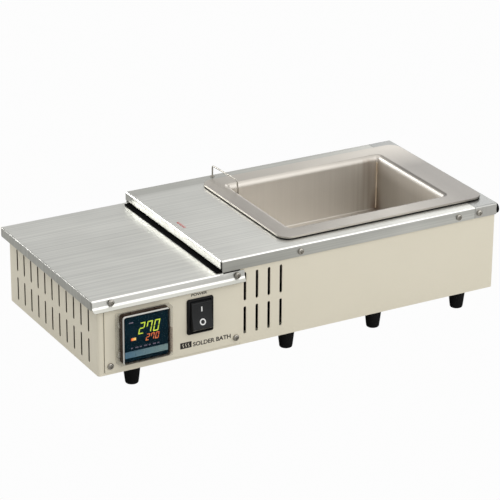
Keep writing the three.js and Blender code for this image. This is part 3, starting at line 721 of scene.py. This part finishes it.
def bumper(node):
    """A round rubber bumper with a rounded rim and a slight dimple."""
    low, high = own_box(node)
    centre = (low + high) / 2
    r, rise, rim = (high.y - low.y) / 2, high.x - low.x, 0.8
    profile = [(0, 0), (r, 0), (r, rise - rim)]
    profile += [(r - rim * (1 - math.cos(a)), rise - rim * (1 - math.sin(a))) for a in quarter(6)]
    profile += [(r * 0.3, rise), (0, rise - 0.1)]
    verts, faces = turned(profile, (low.x, centre.y, centre.z), "x", 1, 40)
    piece(node + "_fine", verts, faces, FINISH["rubber"], stands_for=(node,))


# ---- tank and probe -----------------------------------------------------------------------
# The bead's swell is a share of its radius, its ripple in radians per millimetre of height.
BEAD = {"r": 0.85, "inset": 0.8, "swell": 0.06, "ripple": 2.1, "stations": 24}
# In from the flange's edge, out from the well, and clear of the sheets above and below.
GASKET = {"inset": 0.9, "reach": 5.0, "gap": 0.06}


def tank_rings():
    """Outlines from under the tank's floor up its outside, round the flange and down into the well."""
    wall, bend, floor_z, top = TANK["wall"], TANK["bend"], TANK["floor"], FLANGE["top"]
    under = top - wall

    def well(d, z):
        outline = ring_points(TANK["x0"] - d, TANK["x1"] + d, TANK["y0"] - d, TANK["y1"] + d,
                              TANK["corner"] + d, 8)
        return [(x, y, z) for x, y in outline]

    def edge(d, z):
        outline = ring_points(FLANGE["x0"] + d, FLANGE["x1"] - d, FLANGE["y0"] + d, FLANGE["y1"] - d,
                              FLANGE["corner"] - d, 8)
        return [(x, y, z) for x, y in outline]

    turn = [0.0, *quarter(10)]
    outer, root = bend - wall, 1.2  # radii of the bend's underside and of the well's bottom edge
    rings = [well(wall - 1, floor_z - wall), well(wall, floor_z - wall + 1)]
    rings += [well(wall + outer * (1 - math.cos(a)), under - outer * (1 - math.sin(a))) for a in turn]
    rings += [edge(0.3, under), edge(0.05, under + 0.12), edge(0, under + 0.3), edge(0, top - 0.5),
              edge(0.15, top - 0.15), edge(0.5, top)]
    rings += [well(bend * (1 - math.cos(a)), top - bend * (1 - math.sin(a))) for a in reversed(turn)]
    rings += [well(-root * (1 - math.cos(a)), floor_z + root * (1 - math.sin(a))) for a in (0.0, *quarter(3))]
    return rings


def weld_beads():
    """A rippled bead up each corner of the well."""
    low, high = TANK["floor"] + 1, FLANGE["top"] - TANK["bend"] - 1
    d, count = BEAD["inset"], BEAD["stations"]
    x0, x1, y0, y1 = TANK["x0"] + d, TANK["x1"] - d, TANK["y0"] + d, TANK["y1"] - d
    for i, (x, y) in enumerate(((x0, y0), (x1, y0), (x1, y1), (x0, y1))):
        rod, faces = swept([(x, y, low + (high - low) * k / count) for k in range(count + 1)], BEAD["r"], 12)
        verts = []
        for vx, vy, vz in rod:
            swell = 1 + BEAD["swell"] * math.sin(vz * BEAD["ripple"])
            verts.append((x + (vx - x) * swell, y + (vy - y) * swell, vz))
        piece(f"weld_bead_{i + 1}", verts, faces, WELD, smooth=60)


def tank():
    verts, faces = loft(tank_rings())
    flatten(piece("tank_shell", verts, faces, FINISH["tank_steel"], stands_for=("tank",),
                  smooth=50))
    weld_beads()
    d, reach, gap = GASKET["inset"], GASKET["reach"], GASKET["gap"]
    inner = ring_points(TANK["x0"] - reach, TANK["x1"] + reach, TANK["y0"] - reach, TANK["y1"] + reach, 5, 4)
    outer = ring_points(FLANGE["x0"] + d, FLANGE["x1"] - d, FLANGE["y0"] + d, FLANGE["y1"] - d, 12, 8)
    gasket = plate([outer, inner], own_box("hot_cover")[1].z + gap, FLANGE["top"] - TANK["wall"] - gap, "z")
    dressed("flange_gasket", gasket, FINISH["black_sheet"], stands_for=("tank_gasket",))


def swept(points, r, sides=16):
    """A round rod along points."""
    rings = []
    count = len(points)
    side = Vector((1, 0, 0))
    for i, p in enumerate(points):
        a, b = points[max(i - 1, 0)], points[min(i + 1, count - 1)]
        along = (Vector(b) - Vector(a)).normalized()
        u = (side - along * side.dot(along)).normalized()
        v = along.cross(u)
        rings.append([tuple(Vector(p) + (u * math.cos(t) + v * math.sin(t)) * r)
                      for t in (2 * math.pi * k / sides for k in range(sides))])
    return loft(rings)


def rounded_path(corners, reach, steps=8):
    """The corners joined by straight runs, each turn rounded over reach."""
    out = [corners[0]]
    for before, corner, after in zip(corners, corners[1:], corners[2:]):
        start = corner + (before - corner).normalized() * reach
        end = corner + (after - corner).normalized() * reach
        for k in range(steps + 1):
            t = k / steps
            out.append(start * (1 - t) ** 2 + corner * 2 * t * (1 - t) + end * t * t)
    return out + [corners[-1]]


def probe():
    x, y, bridge, tip_y = (PROBE[k] for k in ("x", "y", "bridge", "tip_y"))
    corners = [Vector(p) for p in ((x, y, PROBE["low"]), (x, y, bridge), (x + 3, tip_y, bridge),
                                   (x + 6.6, tip_y - 3.6, PROBE["tip_z"]))]
    verts, faces = swept(rounded_path(corners, 3), PROBE["r"])
    piece("probe_sheath", verts, faces, FINISH["probe_steel"], "probe",
          ("thermocouple_probe",), smooth=60)


# ---- instrument ---------------------------------------------------------------------------
INK = 0.06  # thickness of printed marks
LIT = 0.04  # and of lit ones
SEGMENTS = {"2": "abged", "7": "abcf", "0": "abcdef"}


def digit(char, x, z, width, height, stroke, slant):
    """Outlines of one seven-segment digit, its lower left corner at x, z."""
    s, mid, gap = stroke, height / 2, stroke * 0.12
    left, right = gap + s * 0.6, width - gap - s * 0.6  # ends of the middle bar
    bars = {
        "a": ((gap, height), (width - gap, height), (width - s, height - s), (s, height - s)),
        "d": ((gap, 0), (width - gap, 0), (width - s, s), (s, s)),
        "g": ((left, mid - s / 2), (right, mid - s / 2), (right, mid + s / 2), (left, mid + s / 2)),
        "f": ((0, mid + gap), (0, height - gap), (s, height - s - gap), (s, mid + s * 0.5 + gap)),
        "b": ((width, mid + gap), (width, height - gap), (width - s, height - s - gap),
              (width - s, mid + s * 0.5 + gap)),
        "e": ((0, gap), (0, mid - gap), (s, mid - s * 0.5 - gap), (s, s + gap)),
        "c": ((width, gap), (width, mid - gap), (width - s, mid - s * 0.5 - gap), (width - s, s + gap)),
    }
    lean = math.tan(math.radians(slant))
    return [[(x + u + v * lean, z + v) for u, v in bars[key]] for key in SEGMENTS[char]]


def flat_print(name, outlines, y, material, thick=INK):
    """Separate flat marks on the plane y as one piece."""
    dressed(name, joined([plate([outline], y - thick, y) for outline in outlines]), material)


def upright(cx, cz, half, half_z):
    """Makes rounded rectangles round cx, cz, inset by d on the plane y, their corners of radius r."""
    def outline(d, y, r):
        points = ring_points(cx - half + d, cx + half - d, cz - half_z + d, cz + half_z - d, r, 6)
        return [(x, y, z) for x, z in points]
    return outline


def instrument():
    cx, cz, half, face = DIN["x"], DIN["z"], DIN["half"], DIN["face"]
    square = upright(cx, cz, half, half)
    verts, faces = loft([square(0, PANEL_FRONT - 0.3, 2.2), square(0, face + 0.9, 2.2),
                         square(0.25, face + 0.3, 2), square(0.8, face, 1.6)])
    bezel = piece("instrument_bezel", verts, faces, FINISH["black_plastic"],
                  stands_for=("controller_bezel",))
    opening = half - 1.0
    carve(bezel, *box_loft(cx - opening, cx + opening, face - 2, face + 1.2, cz - opening, cz + opening))
    reach = opening - 0.1

    def panel(z0, z1, r, holes=()):
        outline = ring_points(cx - reach, cx + reach, z0, z1, r, 3)
        return plate([outline, *holes], face + 0.1, face + 1.15, rim=0.05)

    low, high = DIN_BAND
    dressed("instrument_window", panel(DIN_WINDOW_LOW, cz + reach, 0.4), FINISH["screen"],
            stands_for=("controller_window",))
    dressed("instrument_sill", panel(cz - reach, low - 0.15, 0.4), FINISH["screen"])
    keys = [ring_points(cx + k - 4.1, cx + k + 4.1, low + 1.1, high - 1.1, 0.9, 4) for k in KEY_OFFSETS]
    dressed("key_band_plate", panel(low, high, 0.3, keys), FINISH["key_band"],
            stands_for=("controller_key_band",))
    display(face + 0.06)


def display(front):
    """Both rows of digits, the output lamp, the unit mark and the row of legends, without letters."""
    for name, x, z, width, height, stroke, pitch, material in (
            ("process_value", 37.6, 40.6, 5.7, 11.8, 1.1, 7.9, LED_GREEN),
            ("set_value", 45.5, 32.5, 3.6, 6.7, 0.75, 5.0, LED_RED)):
        outlines = []
        for i, char in enumerate("270"):
            outlines += digit(char, x + i * pitch, z, width, height, stroke, 12)
        flat_print(name, outlines, front, material, LIT)
    flat_print("output_lamp", [ring_points(30.2, 35.4, 35.3, 38.1, 0.3, 3)], front, LAMP, LIT)
    marks = [ring_points(x, x + 1.1, 53.6, 54.8, 0.2, 2) for x in (28.4 + k * 1.5 for k in range(3))]
    flat_print("unit_mark", marks, front, INK_LEGEND, LIT)
    legend = []
    for i in range(7):
        x = 30.0 + i * 4.7
        legend += [ring_points(x + k * 1.1, x + 0.8 + k * 1.1, 26.9, 28.2, 0.15, 2) for k in range(2 + i % 2)]
    flat_print("legend_row", legend, front, INK_LEGEND, LIT)


def clear_flange():
    """The clear frame on the panel, cut back at two corners."""
    cx, cz = DIN["x"], DIN["z"]
    left, right, low, top = cx - 29.1, cx + 32.3, 6.9, cz + 25.9
    outline = [(left + 5, low), (right, low), (right, top - 4.5), (right - 4.5, top), (left, top),
               (left, low + 5)]
    reach = 24.3
    inner = ring_points(cx - reach, cx + reach, cz - reach, cz + reach, 2.4, 6)
    mesh = plate([outline, inner], PANEL_FRONT - 1.5, PANEL_FRONT - 0.3, rim=0.25)
    dressed("clear_flange", mesh, FINISH["clear_plastic"], stands_for=("cover_frame",))


PANE_AREA = 0.001  # in square metres: of the door's faces, only the pane's two are larger


def clear_door():
    """The deep clear box over the instrument, open at the back: smoky walls, clear pane, and a painted
    highlight on its top and left front edges.
    """
    cx, cz, half = DIN["x"], DIN["z"], DOOR["half"]
    wall, back, front = DOOR["wall"], DOOR["back"], DOOR["front"]
    square = upright(cx, cz, half, half)
    rings = [square(wall, back, 1.8), square(0, back, 3), square(0, front + 1.1, 3),
             square(0.3, front + 0.35, 2.8), square(1.0, front, 2.4),
             square(wall + 0.4, front + wall, 1.6), square(wall, front + wall + 0.5, 1.8)]
    n = len(rings[0])
    outer, floor_ring, wall_ring = 4 * n, 5 * n, 6 * n
    verts = [p for r in rings for p in r]
    faces = [face for start in range(0, outer, n) for face in belt(start, start + n, n)]
    faces.append(tuple(range(outer, outer + n)))
    faces.append(tuple(range(floor_ring + n - 1, floor_ring - 1, -1)))
    faces += belt(floor_ring, wall_ring, n) + belt(wall_ring, 0, n)
    door = piece("clear_door", verts, faces, SMOKE, "instrument_door", ("cover_door",))
    door.data.materials.append(PANE)
    door.data.materials.append(EDGE_PAINTED_HIGHLIGHT)
    smoke, pane, edge = 0, 1, 2
    for polygon in door.data.polygons:
        centre = (polygon.center - ORIGIN) / MM
        if abs(polygon.normal.y) > 0.95 and polygon.area > PANE_AREA:
            polygon.material_index = pane
        elif centre.y < front + 1.1 and polygon.normal.y < -0.2:
            # the top and left front edges take the painted highlight
            on_left_or_top = centre.x < cx - half + 1.6 or centre.z > cz + half - 1.6
            polygon.material_index = edge if on_left_or_top and centre.x < cx + half - 2 else smoke


def hinge_and_latch():
    """Two knuckles and their leaves, the finger tab at the right and two lugs on top."""
    cx, top, right = DIN["x"], DIN["z"] + DOOR["half"], DIN["x"] + DOOR["half"]
    x, y, r = HINGE["x"], HINGE["y"], HINGE["r"]
    clear_part = FINISH["clear_plastic"]
    parts = []
    for z in HINGE["zs"]:
        knuckle = [(0, z), (r - 0.15, z), (r, z + 0.15), (r, z + 5.85), (r - 0.15, z + 6), (0, z + 6)]
        parts.append((clear_part, turned(knuckle, (x, y, 0), "z", 1, 24)))
        parts.append((clear_part, box_loft(x, cx - DOOR["half"] + 0.3, y - 1, y + 1, z, z + 6)))
    tab = box_loft(right - 0.2, right + 3.2, DOOR["front"] + 2.8, DOOR["back"] - 0.6, 13, 39)
    parts.append((LATCH, tab))
    for offset in (-13, 13):
        lug = box_loft(cx + offset - 2, cx + offset + 2, -9, -5, top - 0.2, top + 0.8)
        parts.append((SMOKE, lug))
    for i, (material, (verts, faces)) in enumerate(parts):
        piece(f"door_lug_{i + 1}", verts, faces, material, "instrument_door", bevel=0.15)


# ---- rocker switch --------------------------------------------------------------------------
def switch():
    x, z, w, h = (SWITCH[k] for k in "xzwh")
    outline = upright(x, z, w / 2, h / 2)
    base = PANEL_FRONT - 0.3
    verts, faces = loft([outline(0, base, 2), outline(0, base - 1.0, 2), outline(0.25, base - 1.55, 1.8),
                         outline(0.9, base - 2, 1.4)])
    bezel = piece("switch_bezel", verts, faces, FINISH["black_plastic"],
                  stands_for=("switch_housing",))
    wide, tall = 11.3, 16.6  # half the opening
    carve(bezel, *box_loft(x - wide, x + wide, base - 4, base - 0.25, z - tall, z + tall))
    half_swing = math.radians(SWITCH["swing"] / 2)
    corner, rear = math.radians(53.5), math.radians(105)  # either side of the paddle's middle

    def point(radius, angle):
        turn = angle - half_swing
        return (SWITCH["pivot_y"] - radius * math.cos(turn), z - radius * math.sin(turn))

    def fan(start, end, steps=10):
        return [point(SWITCH["r"], start + (end - start) * i / steps) for i in range(steps + 1)]

    middle, top, bottom = point(SWITCH["middle"], 0), point(SWITCH["r"], -corner), point(SWITCH["r"], corner)
    side = fan(rear, corner) + [middle] + fan(-corner, -rear)
    verts, faces = loft([[(px, y, pz) for y, pz in side] for px in (x - SWITCH["half"], x + SWITCH["half"])])
    piece("switch_paddle", verts, faces, PADDLE, "rocker", ("switch_rocker",), bevel=0.5)
    for name, end, outlines in (
            ("mark_on", top, [ring_points(-0.65, 0.65, -2.5, 2.5, 0.4, 4)]),
            ("mark_off", bottom, [circle(0, 0, 3.3, 40), circle(0, 0, 2.05, 40)])):
        mesh = plate(outlines, -INK, INK)
        centre = Vector((x, (middle[0] + end[0]) / 2, (middle[1] + end[1]) / 2))
        slope = Vector((0, end[0] - middle[0], end[1] - middle[1])).normalized()
        if slope.z < 0:
            slope = -slope
        mesh.transform(Matrix.Translation(-ORIGIN))
        mesh.transform(Matrix.Rotation(math.atan2(-slope.y, slope.z), 4, "X"))
        mesh.transform(Matrix.Translation(at(*centre)))
        dressed(name, mesh, INK_WHITE, "rocker")


# ---- printed marks ------------------------------------------------------------------------
def word(name, text, x, z, height, width):
    """A word printed on the control panel, its lower left corner at x, z."""
    curve = bpy.data.curves.new(name, "FONT")
    curve.body = text
    curve.size = 1
    curve.extrude = 0.03
    curve.bevel_depth = 0.025  # makes the strokes bolder
    curve.bevel_resolution = 0
    mesh = mesh_of(curve)
    xs = [v.co.x for v in mesh.vertices]
    ys = [v.co.y for v in mesh.vertices]
    left, low = min(xs), min(ys)
    scale_x = width * MM / (max(xs) - left)
    scale_y = height * MM / (max(ys) - low)
    corner = at(x, PANEL_FRONT, z)
    for v in mesh.vertices:
        u, t, depth = v.co
        offset = Vector(((u - left) * scale_x, -(depth + INK) * MM, (t - low) * scale_y))
        v.co = corner + offset
    dressed(name, outward(mesh), INK_DARK)


def printing():
    """Words and a heat pictogram on the panel, and a row of red strokes on the hot cover."""
    word("word_power", "POWER", 99.4, 63.4, 2.7, 17.4)
    word("word_type", "SOLDER BATH", 101.2, 10.1, 4.6, 41.5)
    block = [ring_points(87.2, 99.6, 10, 16.4, 0.2, 2)]
    flat_print("label_block", block, PANEL_FRONT, INK_DARK)
    waves = []
    for k in range(3):
        left = [(90.05 + k * 3 + 0.55 * math.sin(t * 0.7), 11.2 + t * 0.4) for t in range(11)]
        right = [(u + 0.7, v) for u, v in reversed(left)]
        waves.append(left + right)
    flat_print("label_waves", waves, PANEL_FRONT - 0.05, FINISH["cream_paint"], 0.05)

    top = own_box("hot_cover")[1].z
    strokes = [ring_points(139.6, 142.6, 91 + k * 2.9, 92.2 + k * 2.9, 0.2, 2) for k in range(6)]
    strokes += [ring_points(139.6, 140.6, 91 + k * 5.8, 95 + k * 5.8, 0.2, 2) for k in range(3)]
    mesh = joined([plate([outline], top, top + 0.05, "z") for outline in strokes])
    dressed("cover_mark", mesh, INK_RED)


# ---- build ----------------------------------------------------------------------------------
keep_cad_nodes()
for node in sorted(NODES):
    if "_screw_" in node:
        pan_head(node)
    elif node.startswith("foot_"):
        foot(node)
    elif node.startswith("bumper_"):
        bumper(node)
tank()
probe()
instrument()
clear_flange()
clear_door()
hinge_and_latch()
switch()
printing()


# ---- floor, light and camera -----------------------------------------------------------------
WHITE = (0.98, 0.98, 0.98, 1)  # what the camera sees of the floor and beyond it


def shown_as(tree, seen, otherwise, output):
    """One shader for what the camera sees directly, another for the light it sends to everything else."""
    path, mix = tree.nodes.new("ShaderNodeLightPath"), tree.nodes.new("ShaderNodeMixShader")
    tree.links.new(path.outputs["Is Camera Ray"], mix.inputs[0])
    tree.links.new(otherwise.outputs[0], mix.inputs[1])
    tree.links.new(seen.outputs[0], mix.inputs[2])
    tree.links.new(mix.outputs[0], tree.nodes[output].inputs["Surface"])


def floor():
    size = 6.0
    mesh = bpy.data.meshes.new("floor")
    corners = [(-size, -size, 0), (size, -size, 0), (size, size, 0), (-size, size, 0)]
    mesh.from_pydata(corners, [], [(0, 1, 2, 3)])
    obj = linked("floor", mesh)
    paper = bpy.data.materials.new("paper")
    paper.use_nodes = True
    tree = paper.node_tree
    bright, dim = tree.nodes.new("ShaderNodeEmission"), tree.nodes.new("ShaderNodeBsdfDiffuse")
    bright.inputs["Color"].default_value = WHITE
    dim.inputs["Color"].default_value = (0.5, 0.5, 0.49, 1)
    shown_as(tree, bright, dim, "Material Output")
    mesh.materials.append(paper)


def world():
    made = bpy.data.worlds.new("studio")
    made.use_nodes = True
    tree = made.node_tree
    fill, seen = tree.nodes["Background"], tree.nodes.new("ShaderNodeBackground")
    fill.inputs["Strength"].default_value = 0.68
    fill.inputs["Color"].default_value = (1, 1, 1, 1)
    seen.inputs["Color"].default_value = WHITE
    shown_as(tree, seen, fill, "World Output")
    bpy.context.scene.world = made


SOFTBOXES = {  # place, size in metres, and power in watts
    "key": ((0.95, -2.1, 1.6), (3.8, 2.8), 34.5),
    "top": ((0.1, 0.3, 1.9), (3.0, 2.4), 15),
    "back": ((2.3, 2.1, 1.2), (1.6, 1.2), 7.6),
    "rim": ((-1.05, 2.15, 1.2), (0.8, 0.8), 16),
}


def softbox(name, place, size, power):
    light = bpy.data.lights.new(name, "AREA")
    light.shape = "RECTANGLE"
    light.size, light.size_y = size
    light.energy = power
    obj = linked(name, light)
    obj.location = place
    obj.rotation_mode = "QUATERNION"
    obj.rotation_quaternion = (Vector((0, 0, 0.05)) - Vector(place)).to_track_quat("-Z", "Y")


def camera():
    """The photograph's view: angles, distance in metres, lens and sensor in millimetres, and aim."""
    azimuth, elevation, roll = (math.radians(a) for a in (-29.241, 23.042, 0.387))
    distance, lens, sensor = 2.5, 178.4, 36.0
    target = at(210.6, 82.4, 58.5)
    back = Vector((math.sin(azimuth) * math.cos(elevation), -math.cos(azimuth) * math.cos(elevation),
                   math.sin(elevation)))
    right = (-back).cross(Vector((0, 0, 1))).normalized()
    up = right.cross(-back)
    rolled_right = right * math.cos(roll) + up * math.sin(roll)
    rolled_up = -right * math.sin(roll) + up * math.cos(roll)
    data = bpy.data.cameras.new("camera")
    data.lens = lens
    data.sensor_width = sensor
    obj = linked("camera", data)
    turn = Matrix((rolled_right, rolled_up, back)).transposed().to_4x4()
    obj.matrix_world = Matrix.Translation(target + back * distance) @ turn
    bpy.context.scene.camera = obj


floor()
world()
for name, box in SOFTBOXES.items():
    softbox(name, *box)
camera()
bpy.context.scene.view_settings.view_transform = "Standard"
